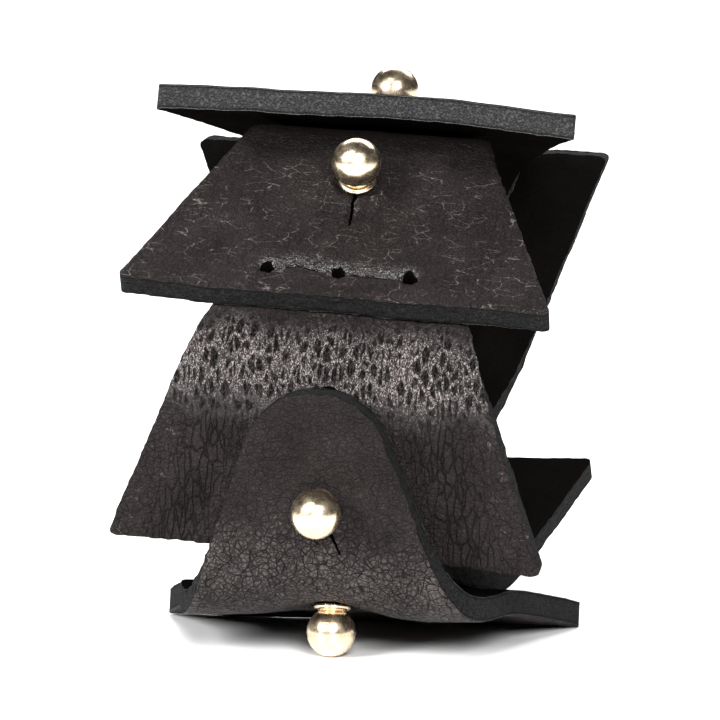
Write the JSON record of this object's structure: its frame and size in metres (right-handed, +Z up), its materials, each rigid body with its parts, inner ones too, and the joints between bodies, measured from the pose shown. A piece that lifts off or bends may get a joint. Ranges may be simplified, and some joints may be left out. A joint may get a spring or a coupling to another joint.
{
  "type": "leather cuff",
  "caption": "Open-ended cuff of thick leather links that button into a ring: ball studs pass through keyhole slits, and a link's long tongue is the clasp.",
  "frame": {"origin": "on the floor, under the middle of the cuff as it lies", "axes": "+Z up, +X along the ring's hole, -Y towards the clasp"},
  "size_m": [0.0538, 0.0708, 0.0692],
  "materials": {
    "black_leather": "pebbled",
    "pale_gold": "polished"
  },
  "bodies": {
    "base": {"base_link_panel": "black_leather", "lower_back_link_tongue": "black_leather", "base_stud_head": "pale_gold", "base_stud_screw": "pale_gold"},
    "clasp_tongue": {"base_link_tongue": "black_leather"},
    "lower_back": {"lower_back_link_panel": "black_leather", "upper_back_link_tongue": "black_leather", "lower_back_stud_head": "pale_gold", "lower_back_stud_screw": "pale_gold"},
    "upper_back": {"upper_back_link_panel": "black_leather", "top_link_tongue": "black_leather", "upper_back_stud_head": "pale_gold", "upper_back_stud_screw": "pale_gold"},
    "top": {"top_link_panel": "black_leather", "upper_front_link_tongue": "black_leather", "top_stud_head": "pale_gold", "top_stud_screw": "pale_gold"},
    "upper_front": {"upper_front_link_panel": "black_leather", "lower_front_link_tongue": "black_leather", "upper_front_stud_head": "pale_gold", "upper_front_stud_screw": "pale_gold"},
    "lower_front": {"lower_front_link_panel": "black_leather", "clasp_stud_head": "pale_gold", "clasp_stud_screw": "pale_gold"}
  },
  "joints": [
    {"name": "clasp_flex", "type": "hinge", "parent": "base", "child": "clasp_tongue", "pos_m": [-0.00046, -0.02635, 0.00992], "axis": [1, -0.0082, 0], "range_deg": [0, 65], "deforming": ["base_link_tongue"]},
    {"name": "upper_back_flex", "type": "hinge", "parent": "lower_back", "child": "upper_back", "pos_m": [-0.00026, 0.02774, 0.02769], "axis": [-0.9995, 0.0165, 0.027], "range_deg": [0, 32], "deforming": ["base_link_tongue"]},
    {"name": "lower_back_flex", "type": "hinge", "parent": "base", "child": "lower_back", "pos_m": [-0.00066, 0.00665, 0.00489], "axis": [-0.9999, -0.0104, 0.0048], "range_deg": [0, 8]},
    {"name": "top_flex", "type": "hinge", "parent": "upper_back", "child": "top", "pos_m": [0.00084, 0.02227, 0.05918], "axis": [-0.9989, 0.0153, 0.0444], "range_deg": [0, 24]},
    {"name": "upper_front_flex", "type": "hinge", "parent": "top", "child": "upper_front", "pos_m": [0.00129, -0.00195, 0.06214], "axis": [-0.997, -0.0279, 0.0727], "range_deg": [0, 20]},
    {"name": "lower_front_flex", "type": "hinge", "parent": "upper_front", "child": "lower_front", "pos_m": [0.0008, -0.02575, 0.03683], "axis": [-0.9973, -0.0493, 0.0548], "range_deg": [0, 16]}
  ],
  "couplings": [
    {"joint": "lower_back_flex", "follows": "upper_back_flex", "ratio": 0.25},
    {"joint": "top_flex", "follows": "upper_back_flex", "ratio": 0.75},
    {"joint": "upper_front_flex", "follows": "upper_back_flex", "ratio": 0.625},
    {"joint": "lower_front_flex", "follows": "upper_back_flex", "ratio": 0.5}
  ]
}
